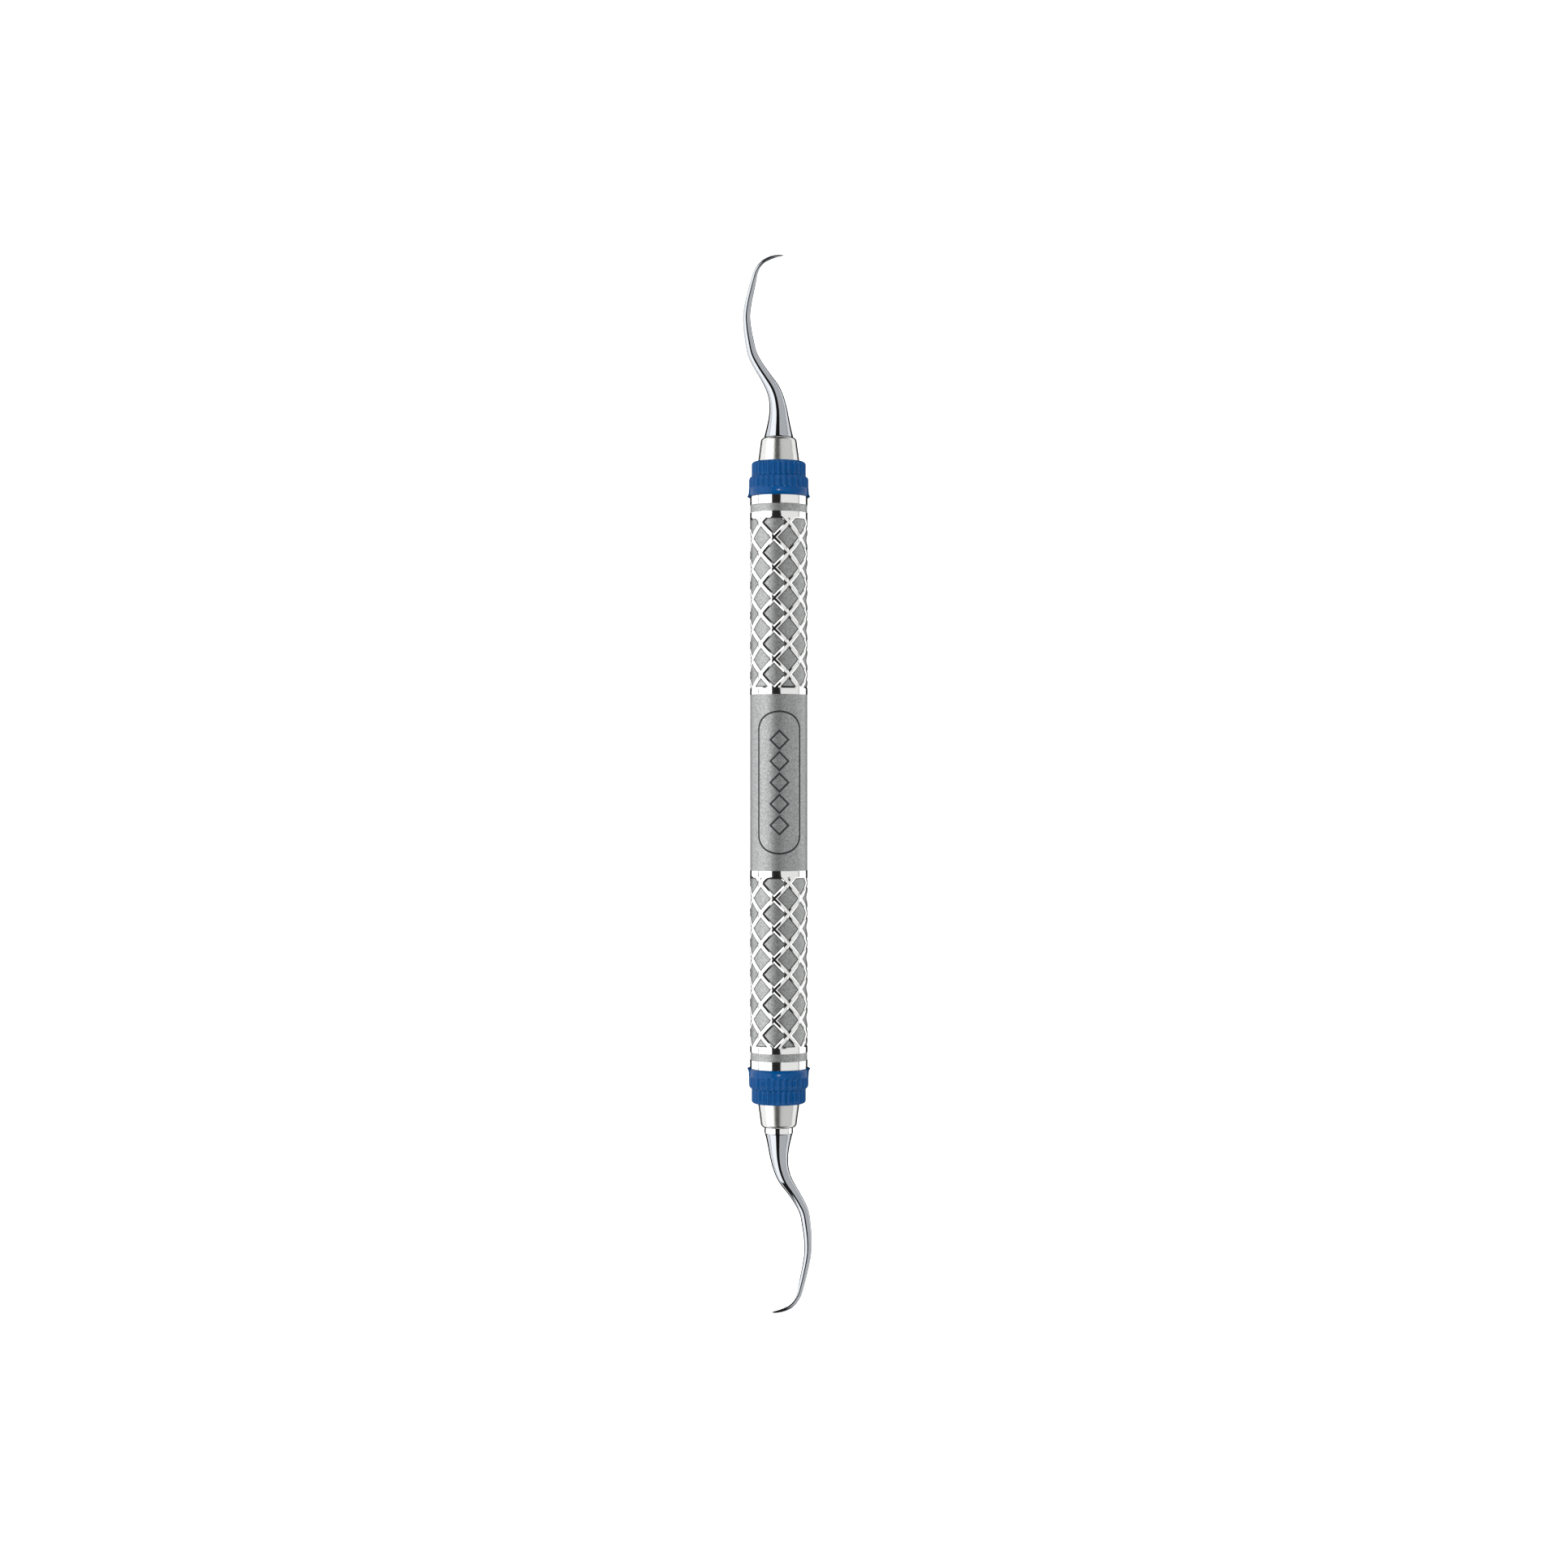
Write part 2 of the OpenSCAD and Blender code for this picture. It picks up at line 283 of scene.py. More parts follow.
def vary_roughness(tree, principled, noise, low, high):
    """Lets a finish's roughness follow the noise between two values."""
    rough = add(tree, "ShaderNodeMapRange", {"Value": noise, "To Min": low, "To Max": high})
    tree.links.new(rough.outputs[0], principled.inputs["Roughness"])


def add_bump(tree, principled, noise, strength, height):
    """Gives a finish the fine relief of its noise."""
    values = {"Height": noise, "Strength": strength, "Distance": height}
    bump = add(tree, "ShaderNodeBump", values)
    tree.links.new(bump.outputs[0], principled.inputs["Normal"])


def polished_stainless(finishes):
    """Stainless steel buffed after turning: sharp reflections, faint polishing haze."""
    material, tree, principled = new_finish(
        "polished_stainless", finishes.polished, Metallic=1.0, Roughness=0.1
    )
    if tree:
        vary_roughness(tree, principled, grain(tree, 0.9 * MM), 0.07, 0.14)
    return material


def mirror_stainless(finishes):
    """Forged steel ground and mirror polished by hand: the brightest finish on the scaler."""
    material, tree, principled = new_finish(
        "mirror_stainless", finishes.mirror, Metallic=1.0, Roughness=0.06
    )
    if tree:
        smear = grain(tree, 0.7 * MM, stretch=(1, 0.2, 1))
        vary_roughness(tree, principled, smear, 0.04, 0.09)
    return material


def blasted_stainless(finishes):
    """Bead-blasted stainless steel: an even grey satin, its grain drawn coarse enough to show, with
    painted shade drawn darker at the foot of the knurl's walls.
    """
    material, tree, principled = new_finish(
        "blasted_stainless", finishes.blasted, Metallic=1.0, Roughness=0.5
    )
    if tree:
        noise = mottle(tree, principled, finishes.blasted, 0.26 * MM, 1.22, 0.78)
        # Painted shade: the foot of the knurl's walls is drawn darker, standing in for the shade in
        # the pockets' corners.
        foot = add(tree, "ShaderNodeAttribute", attribute_name="painted_wall_foot_shade").outputs["Fac"]
        shade = add(tree, "ShaderNodeMapRange", {"Value": foot, "To Min": 1.0, "To Max": 0.25})
        mottled = principled.inputs["Base Color"].links[0].from_socket
        values = {0: mottled, "Scale": shade.outputs[0]}
        darker = add(tree, "ShaderNodeVectorMath", values, operation="SCALE")
        tree.links.new(darker.outputs[0], principled.inputs["Base Color"])
        add_bump(tree, principled, noise, 0.35, 0.03 * MM)
    return material


def satin_stainless(finishes):
    """Turned stainless steel, lightly brushed round and round: soft bands from its tool lines."""
    material, tree, principled = new_finish(
        "satin_stainless", finishes.satin, Metallic=1.0, Roughness=0.2, Anisotropic=0.4
    )
    if tree:
        lines = grain(tree, 0.12 * MM, stretch=(0.01, 1, 0.01))
        vary_roughness(tree, principled, lines, 0.2, 0.3)
    return material


def engraved_steel(finishes):
    """Laser-darkened steel at the bottom of an engraved line: dull and almost black."""
    material, tree, principled = new_finish(
        "engraved_steel", finishes.engraved, Metallic=0.3, Roughness=0.6
    )
    if tree:
        mottle(tree, principled, finishes.engraved, 0.2 * MM, 1.3, 0.7)
    return material


def blue_silicone(finishes):
    """Moulded silicone rubber: saturated blue with a soft sheen and a very fine mould texture."""
    material, tree, principled = new_finish(
        "blue_silicone", finishes.silicone, Roughness=0.2, IOR=1.41, Specular_IOR_Level=0.14
    )
    if tree:
        noise = mottle(tree, principled, finishes.silicone, 0.35 * MM, 1.1, 0.9)
        vary_roughness(tree, principled, noise, 0.17, 0.24)
        add_bump(tree, principled, noise, 0.1, 0.02 * MM)
    return material


def studio_floor(finishes):
    """Lit acrylic table top: pale, with no pattern of its own beyond a trace of unevenness."""
    material, tree, principled = new_finish(
        "lit_acrylic",
        finishes.floor,
        Roughness=0.8,
        Emission_Color=(*finishes.floor, 1),
        Emission_Strength=0.75,
    )
    if tree:
        mottle(tree, principled, finishes.floor, 60 * MM, 1.0, 0.99)
    return material


# ---------------------------------------------------------------- mesh helpers


def new_piece(name, vertices, faces, material):
    """A smooth-shaded mesh object with its place in its mesh."""
    mesh = bpy.data.meshes.new(name)
    mesh.from_pydata(vertices, [], faces)
    mesh.materials.append(material)
    piece = bpy.data.objects.new(name, mesh)
    bpy.context.scene.collection.objects.link(piece)
    point_outwards(mesh)
    return piece


def point_outwards(mesh):
    """Turns every face outwards and shades the mesh smooth."""
    shape = bmesh.new()
    shape.from_mesh(mesh)
    bmesh.ops.recalc_face_normals(shape, faces=shape.faces)
    shape.to_mesh(mesh)
    shape.free()
    mesh.shade_smooth()


def apply_modifiers(piece):
    """Turns the evaluated piece into a plain mesh and takes its modifiers off."""
    evaluated = piece.evaluated_get(bpy.context.evaluated_depsgraph_get())
    mesh = bpy.data.meshes.new_from_object(evaluated)
    old = piece.data
    piece.modifiers.clear()
    piece.data = mesh
    bpy.data.meshes.remove(old)
    mesh.name = piece.name


def shape_with(piece, tree, values):
    """Runs a node tree on a piece, with its inputs set by identifier, and keeps the result."""
    modifier = piece.modifiers.new(tree.name, "NODES")
    modifier.node_group = tree
    for item in tree.interface.items_tree:
        if item.name in values:
            modifier[item.identifier] = values[item.name]
    apply_modifiers(piece)


def shape_tree(name, inputs):
    """An empty tree that reshapes a piece, its inputs, and a function that adds its maths nodes."""
    tree = bpy.data.node_groups.new(name, "GeometryNodeTree")
    tree.interface.new_socket("Geometry", in_out="INPUT", socket_type="NodeSocketGeometry")
    for title in inputs:
        tree.interface.new_socket(title, in_out="INPUT", socket_type="NodeSocketFloat")
    tree.interface.new_socket("Geometry", in_out="OUTPUT", socket_type="NodeSocketGeometry")

    def calc(operation, *values):
        node = add(tree, "ShaderNodeMath", dict(enumerate(values)), operation=operation)
        return node.outputs[0]

    return tree, add(tree, "NodeGroupInput").outputs, calc


def point_place(tree, calc):
    """A point's x, y and z, and its distance from the handle's axis."""
    spot = add(tree, "GeometryNodeInputPosition").outputs[0]
    x, y, z = add(tree, "ShaderNodeSeparateXYZ", {0: spot}).outputs
    radius = calc("SQRT", calc("ADD", calc("MULTIPLY", x, x), calc("MULTIPLY", z, z)))
    return x, y, z, radius


def move_along_radius(tree, calc, geometry, x, z, share):
    """The geometry moved out along its own radius, by a share of that radius."""
    across, up = calc("MULTIPLY", x, share), calc("MULTIPLY", z, share)
    offset = add(tree, "ShaderNodeCombineXYZ", {0: across, 2: up}).outputs[0]
    values = {"Geometry": geometry, "Offset": offset}
    return add(tree, "GeometryNodeSetPosition", values).outputs[0]


def store(tree, geometry, name, value):
    """The geometry with a number stored on its points."""
    values = {"Geometry": geometry, "Name": name, "Value": value}
    node = add(
        tree, "GeometryNodeStoreNamedAttribute", values, data_type="FLOAT", domain="POINT"
    )
    return node.outputs[0]


def lathe(name, profile, columns, material, turn=0.0):
    """Turns a closed outline of (radius, height) points around the handle's axis."""
    angles = [turn + 2 * math.pi * i / columns for i in range(columns)]
    vertices = [(r * math.sin(a), y, r * math.cos(a)) for a in angles for r, y in profile]
    n = len(profile)
    faces = []
    for i in range(columns):
        here, there = i * n, (i + 1) % columns * n
        for j in range(n):
            k = (j + 1) % n
            faces.append((here + j, here + k, there + k, there + j))
    return new_piece(name, vertices, faces, material)


def rounded(points, radius, steps=3):
    """A closed outline with its corners rounded, by no more than a third of the shorter side."""
    out = []
    for i, point in enumerate(points):
        near = (point, points[i - 1], points[(i + 1) % len(points)])
        here, before, after = (Vector(p) for p in near)
        side_in, side_out = before - here, after - here
        cut = min(radius, side_in.length / 3, side_out.length / 3)
        start, end = here + side_in.normalized() * cut, here + side_out.normalized() * cut
        for k in range(steps + 1):
            t = k / steps
            out.append(tuple(start * (1 - t) ** 2 + here * 2 * t * (1 - t) + end * t**2))
    return out


def mirrored(points):
    """Every point turned through the origin, which takes the upper end to the lower end."""
    return [tuple(-c for c in point) for point in points]


def finish_piece(piece, node, sharp=40):
    """Marks the sharp edges, hangs the piece on the body and hides the part it stands for."""
    piece.data.set_sharp_from_angle(angle=math.radians(sharp))
    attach(piece, BODY)
    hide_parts(node)


# ---------------------------------------------------------------- handle tube


# Vertex rows in one pitch of the knurl, across a wall at its end, and along the middle zone.
KNURL_STEPS = 36
WALL_ROWS = 3
MIDDLE_ROWS = 9
# How far down its wall, from 0 to 1, a pocket's blasted face begins.
BLASTED_FROM = 0.6


def knurl_rows(sizes, pitch, crossing):
    """Heights of one knurl's vertex rows, in step with its crossings and closer at its ends."""
    step = pitch / KNURL_STEPS
    gap = 0.3  # of a step, kept free between the two kinds of row
    start, end = sizes.knurl_start, sizes.knurl_end
    edges = [k * sizes.wall_w / WALL_ROWS for k in range(WALL_ROWS + 1)]
    rows = [start + e for e in edges] + [end - e for e in edges]
    first = math.ceil((start + edges[-1] - abs(crossing)) / step + gap)
    last = math.floor((end - edges[-1] - abs(crossing)) / step - gap)
    return sorted(rows + [abs(crossing) + k * step for k in range(first, last + 1)])


def tube_outline(sizes, pitch):
    """Outline of the plain tube before knurling: up the outside and back down the bore."""
    bevel = 0.04 * MM
    upper = knurl_rows(sizes, pitch, sizes.upper_crossing)
    lower = [-y for y in reversed(knurl_rows(sizes, pitch, sizes.lower_crossing))]
    centre_r = TUBE_R - sizes.centre_depth
    groove_r = TUBE_R - sizes.groove_depth
    out = [(sizes.bore_r, -TUBE_END), (TUBE_R, -TUBE_END)]
    for sign in (-1, 1):
        band = [
            (TUBE_R, sizes.groove_end),
            (groove_r, sizes.groove_end - bevel),
            (groove_r, sizes.groove_start + bevel),
            (TUBE_R, sizes.groove_start),
        ]
        if sign < 0:
            out += [(r, -y) for r, y in band]
            out += [(TUBE_R, y) for y in lower]
            out.append((TUBE_R, -sizes.centre_end))
            flat = sizes.centre_end - bevel
            out += [(centre_r, float(y)) for y in np.linspace(-flat, flat, MIDDLE_ROWS)]
            out.append((TUBE_R, sizes.centre_end))
        else:
            out += [(TUBE_R, y) for y in upper]
            out += band[::-1]
    return out + [(TUBE_R, TUBE_END), (sizes.bore_r, TUBE_END)]


def knurl_tree(polished, blasted):
    """Presses diamond pockets into a tube. Crossings repeat every two columns and every pitch."""
    names = (
        "Tube radius", "Pitch", "Column step", "Turn", "Upper crossing", "Lower crossing",
        "Ridge width", "Wall width", "Painted shade line", "Pocket depth", "End blend", "Knurl middle",
        "Knurl half", "Groove middle", "Groove half", "Centre half",
    )
    tree, given, calc = shape_tree("Diamond knurl", names)
    x, y, z, radius = point_place(tree, calc)
    height = calc("ABSOLUTE", y)
    # Columns and half pitches from the nearest knurl's own crossing.
    is_upper = calc("GREATER_THAN", y, 0.0)
    rise = calc("SUBTRACT", given["Upper crossing"], given["Lower crossing"])
    crossing = calc("MULTIPLY_ADD", is_upper, rise, given["Lower crossing"])
    turned = calc("SUBTRACT", calc("ARCTAN2", x, z), given["Turn"])
    across = calc("DIVIDE", turned, given["Column step"])
    half_pitch = calc("MULTIPLY", given["Pitch"], 0.5)
    along = calc("DIVIDE", calc("SUBTRACT", y, crossing), half_pitch)
    # Distance into the pocket from the two families of 45-degree ridges and from the knurl's ends.
    spacing = calc("DIVIDE", given["Pitch"], math.sqrt(2))
    half_ridge = calc("MULTIPLY", given["Ridge width"], 0.5)
    sides = []
    for operation in ("ADD", "SUBTRACT"):
        cell = calc("MULTIPLY", calc(operation, across, along), 0.5)
        reach = calc("MULTIPLY", calc("PINGPONG", cell, 0.5), spacing)
        sides.append(calc("SUBTRACT", reach, half_ridge))
    off_middle = calc("ABSOLUTE", calc("SUBTRACT", height, given["Knurl middle"]))
    from_end = calc("SUBTRACT", given["Knurl half"], off_middle)
    pocket = calc("MINIMUM", sides[0], sides[1])
    pocket = calc("SMOOTH_MIN", pocket, from_end, given["End blend"])
    values = {"Value": pocket, "From Min": 0.0, "From Max": given["Wall width"]}
    wall = add(tree, "ShaderNodeMapRange", values).outputs[0]
    floor_r = calc("SUBTRACT", given["Tube radius"], given["Pocket depth"])
    outside = calc("GREATER_THAN", radius, floor_r)
    in_knurl = calc("MULTIPLY", calc("GREATER_THAN", from_end, 0.0), outside)
    fall = calc("MULTIPLY", wall, in_knurl)
    # The painted shade line at the walls' foot: 1 or more on a wall, falling to 0 over its width on
    # the pocket's floor.
    past_wall = calc("DIVIDE", calc("SUBTRACT", pocket, given["Wall width"]), given["Painted shade line"])
    foot = calc("MULTIPLY", calc("SUBTRACT", 1.0, past_wall), in_knurl)
    depth = calc("MULTIPLY", fall, calc("MULTIPLY", given["Pocket depth"], -1.0))
    sink = calc("DIVIDE", depth, radius)
    marked = store(tree, given["Geometry"], "sunk", fall)
    # Stores the painted shade at the foot of the walls, for the blasted finish to darken.
    marked = store(tree, marked, "painted_wall_foot_shade", foot)
    pressed = move_along_radius(tree, calc, marked, x, z, sink)
    split = add(
        tree, "GeometryNodeTriangulate", {"Mesh": pressed}, quad_method="SHORTEST_DIAGONAL"
    )
    # Blasted: pocket floors with the foot of their walls, the middle zone and the narrow grooves.
    sunk = add(tree, "GeometryNodeInputNamedAttribute", {"Name": "sunk"}, data_type="FLOAT")
    floor = calc("GREATER_THAN", sunk.outputs[0], BLASTED_FROM)
    middle = calc("LESS_THAN", height, given["Centre half"])
    off_groove = calc("ABSOLUTE", calc("SUBTRACT", height, given["Groove middle"]))
    groove = calc("LESS_THAN", off_groove, given["Groove half"])
    matt = calc("MAXIMUM", floor, calc("MAXIMUM", middle, groove))
    whole = add(tree, "GeometryNodeRealizeInstances", {"Geometry": split.outputs[0]})
    values = {"Geometry": whole.outputs[0], "Material": polished}
    shiny = add(tree, "GeometryNodeSetMaterial", values)
    values = {"Geometry": shiny.outputs[0], "Selection": matt, "Material": blasted}
    dull = add(tree, "GeometryNodeSetMaterial", values)
    add(tree, "NodeGroupOutput", {"Geometry": dull.outputs[0]})
    return tree


def engraved_loop(outer, inner, low_r, high_r, turn):
    """A closed band between two loops of (arc, height) points, wrapped between two radii."""
    n = len(outer)
    vertices = []
    for o, i in zip(outer, inner):
        for (arc, y), r in ((o, low_r), (o, high_r), (i, high_r), (i, low_r)):
            a = turn + arc / TUBE_R
            vertices.append((r * math.sin(a), y, r * math.cos(a)))
    faces = []
    for k in range(n):
        here, there = 4 * k, 4 * ((k + 1) % n)
        faces += [(here + j, here + (j + 1) % 4, there + (j + 1) % 4, there + j) for j in range(4)]
    return vertices, faces


def outline_points(half_w, half_len, end_h, steps=24):
    """A long outline with half-ellipse ends, as points around it."""
    points = []
    for side in (1, -1):
        for k in range(steps + 1):
            a = math.pi * k / steps
            y = half_len - end_h + end_h * math.sin(a)
            points.append((side * half_w * math.cos(a), side * y))
    return points


def diamond_points(half, middle, steps=4):
    """A diamond with its points up and down the handle, as points around it."""
    corners = [(half, 0), (0, half), (-half, 0), (0, -half)]
    points = []
    for i, (x0, y0) in enumerate(corners):
        x1, y1 = corners[(i + 1) % 4]
        for k in range(steps):
            points.append((x0 + (x1 - x0) * k / steps, middle + y0 + (y1 - y0) * k / steps))
    return points


def engraving_cutter(sizes, centre_r, material):
    """What the engraving takes away: the long outline and the row of diamonds in it."""
    half = sizes.line_w / 2
    low_r, high_r = centre_r - sizes.line_depth, centre_r + 0.3 * MM
    oval = (sizes.half_arc, sizes.half_len, sizes.end_h)
    loops = [[outline_points(*(side + d for side in oval)) for d in (half, -half)]]
    for i in range(sizes.diamonds):
        middle = (i - (sizes.diamonds - 1) / 2) * sizes.diamond_step
        grow = half * math.sqrt(2)
        loops.append([diamond_points(sizes.diamond_r + d, middle) for d in (grow, -grow)])
    vertices, faces = [], []
    for outer, inner in loops:
        spots, sides = engraved_loop(outer, inner, low_r, high_r, sizes.turn)
        faces += [tuple(len(vertices) + k for k in side) for side in sides]
        vertices += spots
    return new_piece("engraving_cutter", vertices, faces, material)


class SCALER_OT_handle_tube(bpy.types.Operator):
    """Turns, knurls and engraves the handle tube"""

    bl_idname = "scaler.handle_tube"
    bl_label = "Handle Tube"

    def execute(self, context):
        sizes, marks = context.scene.scaler_handle, context.scene.scaler_engraving
        finishes = context.scene.scaler_finishes
        polished, blasted = polished_stainless(finishes), blasted_stainless(finishes)
        engraved = engraved_steel(finishes)
        pitch = 2 * math.pi * TUBE_R / (sizes.columns / 2)
        columns = sizes.columns * KNURL_STEPS // 2
        outline = tube_outline(sizes, pitch)
        tube = lathe("knurled_handle_tube", outline, columns, polished, sizes.column_turn)
        values = {
            "Tube radius": TUBE_R,
            "Pitch": pitch,
            "Column step": 2 * math.pi / sizes.columns,
            "Turn": sizes.column_turn,
            "Upper crossing": sizes.upper_crossing,
            "Lower crossing": sizes.lower_crossing,
            "Ridge width": sizes.ridge_w,
            "Wall width": sizes.wall_w,
            "Pocket depth": sizes.pocket_depth,
            "End blend": sizes.end_blend,
            "Painted shade line": sizes.painted_shade_w,
            "Knurl middle": (sizes.knurl_start + sizes.knurl_end) / 2,
            "Knurl half": (sizes.knurl_end - sizes.knurl_start) / 2,
            "Groove middle": (sizes.groove_start + sizes.groove_end) / 2,
            "Groove half": (sizes.groove_end - sizes.groove_start) / 2,
            "Centre half": sizes.centre_end,
        }
        shape_with(tube, knurl_tree(polished, blasted), values)
        centre_r = TUBE_R - sizes.centre_depth
        cutter = engraving_cutter(marks, centre_r, engraved)
        cut = tube.modifiers.new("Engraving", "BOOLEAN")
        cut.solver = "MANIFOLD"
        cut.operation = "DIFFERENCE"
        cut.object = cutter
        apply_modifiers(tube)
        bpy.data.objects.remove(cutter)
        self.darken_lines(tube, engraved, centre_r - marks.line_depth / 4, sizes)
        finish_piece(tube, "handle_tube", sharp=28)
        return {"FINISHED"}

    @staticmethod
    def darken_lines(tube, engraved, below, sizes):
        """Gives the engraved faces their own finish."""
        materials = tube.data.materials
        if engraved.name not in materials:
            materials.append(engraved)
        dark = materials.find(engraved.name)
        wall = (sizes.bore_r + TUBE_R) / 2
        reach = sizes.centre_end - 1 * MM
        for face in tube.data.polygons:
            radius = math.hypot(face.center.x, face.center.z)
            if abs(face.center.y) < reach and wall < radius < below:
                face.material_index = dark


# ---------------------------------------------------------------- end cones


# The end cone's flange, and the bead on its seat that holds the ring.
FLANGE_END = TUBE_END + 0.6 * MM
BEAD, BEAD_HALF, BEAD_FLAT = 50.15 * MM, 0.55 * MM, 0.25 * MM
# Cosine and sine in equal steps over a quarter turn.
QUARTER = [(math.cos(a), math.sin(a)) for a in (math.pi / 2 * k / 8 for k in range(9))]


def seat_outline(rings):
    """Outline that the cone and the ring share: flange, seat and retaining bead."""
    return [
        (FLANGE_R, TUBE_END),
        (FLANGE_R, FLANGE_END),
        (rings.seat_r, FLANGE_END),
        (rings.seat_r, BEAD - BEAD_HALF),
        (rings.bead_r, BEAD - BEAD_FLAT),
        (rings.bead_r, BEAD + BEAD_FLAT),
        (rings.seat_r, BEAD + BEAD_HALF),
        (rings.seat_r, RING_END),
    ]


def cone_outline(tips, rings, neck):
    """Outline of an end cone: spigot, flange, ring seat with its bead, taper, shoulder and nose."""
    back_end = TANG_START - 0.5 * MM
    spigot_r = 4.0 * MM
    body = [
        (tips.back_bore_r, SPIGOT_START),
        (spigot_r, SPIGOT_START),
        (spigot_r, TUBE_END),
        *seat_outline(rings),
        (tips.taper_r, RING_END),
    ]
    shoulder = []
    for cos, sin in QUARTER:
        r = tips.nose_r + (tips.shoulder_r - tips.nose_r) * cos
        shoulder.append((r, NOSE - tips.shoulder_h * (1 - sin)))
    nose = [(tips.nose_r, NOSE + neck)] if neck > 0 else []
    bore = [
        (tips.tang_r, NOSE + neck),
        (tips.tang_r, back_end),
        (tips.back_bore_r, back_end),
    ]
    return rounded(body, 0.06 * MM) + shoulder + nose + bore


class SCALER_OT_end_cones(bpy.types.Operator):
    """Turns the two end cones"""

    bl_idname = "scaler.end_cones"
    bl_label = "End Cones"

    def execute(self, context):
        tips, rings = context.scene.scaler_tips, context.scene.scaler_rings
        finishes = context.scene.scaler_finishes
        satin, polished = satin_stainless(finishes), polished_stainless(finishes)
        for end in ENDS:
            neck = LOWER_NECK if end == "lower" else 0
            outline = cone_outline(tips, rings, neck)
            if end == "lower":
                outline = [(r, -y) for r, y in outline]
            cone = lathe(f"{end}_turned_cone", outline, 128, satin)
            cone.data.materials.append(polished)
            for face in cone.data.polygons:
                face.material_index = int(abs(face.center.y) > NOSE)
            finish_piece(cone, f"{end}_end_cone", sharp=30)
        return {"FINISHED"}


# ---------------------------------------------------------------- grip rings


# Vertex columns in one rib.
RIB_STEPS = 12


def ring_outline(rings):
    """Outline of a grip ring, with enough points on its tiers to carry the ribs."""
    wide_top, narrow_start = RING_START + 2.9 * MM, RING_START + 3.6 * MM
    wide_rows, narrow_rows = 12, 8
    edge = 0.55 * MM
    bevel = 0.06 * MM
    flare = 0.02 * MM
    outer = [
        (TUBE_R, RING_START),
        (LIP_R - bevel, RING_START),
        (LIP_R, RING_START + bevel),
        (rings.wide_r + 0.12 * MM, RING_START + 0.3 * MM),
        (rings.wide_r + 0.04 * MM, RING_START + 0.6 * MM),
    ]
    for k in range(wide_rows):
        t = k / (wide_rows - 1)
        outer.append((rings.wide_r + flare * (1 - t), RING_START + (0.9 + 1.7 * t) * MM))
    step_in, step_up = rings.wide_r - rings.narrow_r - flare, narrow_start - wide_top
    for cos, sin in QUARTER[1:]:
        outer.append((rings.wide_r - step_in * (1 - cos), wide_top - 0.3 * MM + step_up * sin))
    low, high = narrow_start - 0.1 * MM, RING_END - edge
    for k in range(narrow_rows):
        outer.append((rings.narrow_r, low + k / (narrow_rows - 1) * (high - low)))
    for cos, sin in QUARTER[1:]:
        outer.append((rings.narrow_r - edge * (1 - cos), RING_END - edge * (1 - sin)))
    return outer + seat_outline(rings)[::-1] + [(TUBE_R, TUBE_END)]


def rib_tree(silicone):
    """Moulds ribs into a ring: a wave around it that fades out over the skirt and the end."""
    names = (
        "Ribs", "Rib height", "Inner radius", "Skirt end", "Rib start", "Step", "Ring end", "Fade",
    )
    tree, given, calc = shape_tree("Moulded ribs", names)

    def fade(value, low, high):
        values = {"Value": value, "From Min": low, "From Max": high}
        node = add(tree, "ShaderNodeMapRange", values, interpolation_type="SMOOTHSTEP")
        return node.outputs[0]

    x, y, z, radius = point_place(tree, calc)
    height = calc("ABSOLUTE", y)
    wave = calc("COSINE", calc("MULTIPLY", calc("ARCTAN2", x, z), given["Ribs"]))
    valley = calc("MULTIPLY_ADD", wave, -0.5, 0.5)
    window = fade(height, given["Skirt end"], given["Rib start"])
    notch = fade(calc("ABSOLUTE", calc("SUBTRACT", height, given["Step"])), 0.0, given["Fade"])
    top = fade(calc("SUBTRACT", given["Ring end"], height), 0.0, given["Fade"])
    outside = calc("GREATER_THAN", radius, given["Inner radius"])
    depth = calc("MULTIPLY", calc("MULTIPLY", valley, window), calc("MULTIPLY", notch, top))
    depth = calc("MULTIPLY", calc("MULTIPLY", depth, outside), given["Rib height"])
    sink = calc("MULTIPLY", calc("DIVIDE", depth, radius), -1.0)
    moulded = move_along_radius(tree, calc, given["Geometry"], x, z, sink)
    whole = add(tree, "GeometryNodeRealizeInstances", {"Geometry": moulded})
    values = {"Geometry": whole.outputs[0], "Material": silicone}
    coloured = add(tree, "GeometryNodeSetMaterial", values)
    add(tree, "NodeGroupOutput", {"Geometry": coloured.outputs[0]})
    return tree


class SCALER_OT_grip_rings(bpy.types.Operator):
    """Moulds the two silicone grip rings"""

    bl_idname = "scaler.grip_rings"
    bl_label = "Grip Rings"

    def execute(self, context):
        rings = context.scene.scaler_rings
        silicone = blue_silicone(context.scene.scaler_finishes)
        tree = rib_tree(silicone)
        values = {
            "Ribs": float(rings.ribs),
            "Rib height": rings.rib_h,
            "Inner radius": rings.narrow_r - 0.75 * MM,
            "Skirt end": RING_START + 1.25 * MM,
            "Rib start": RING_START + 1.6 * MM,
            "Step": RING_START + 3.3 * MM,
            "Ring end": RING_END,
            "Fade": 0.25 * MM,
        }
        for end in ENDS:
            outline = ring_outline(rings)
            if end == "lower":
                outline = [(r, -y) for r, y in outline]
            ring = lathe(f"{end}_silicone_ring", outline, rings.ribs * RIB_STEPS, silicone)
            shape_with(ring, tree, values)
            finish_piece(ring, f"{end}_grip_ring", sharp=50)
            light_group("rings").objects.link(ring)
        return {"FINISHED"}


# ---------------------------------------------------------------- working ends

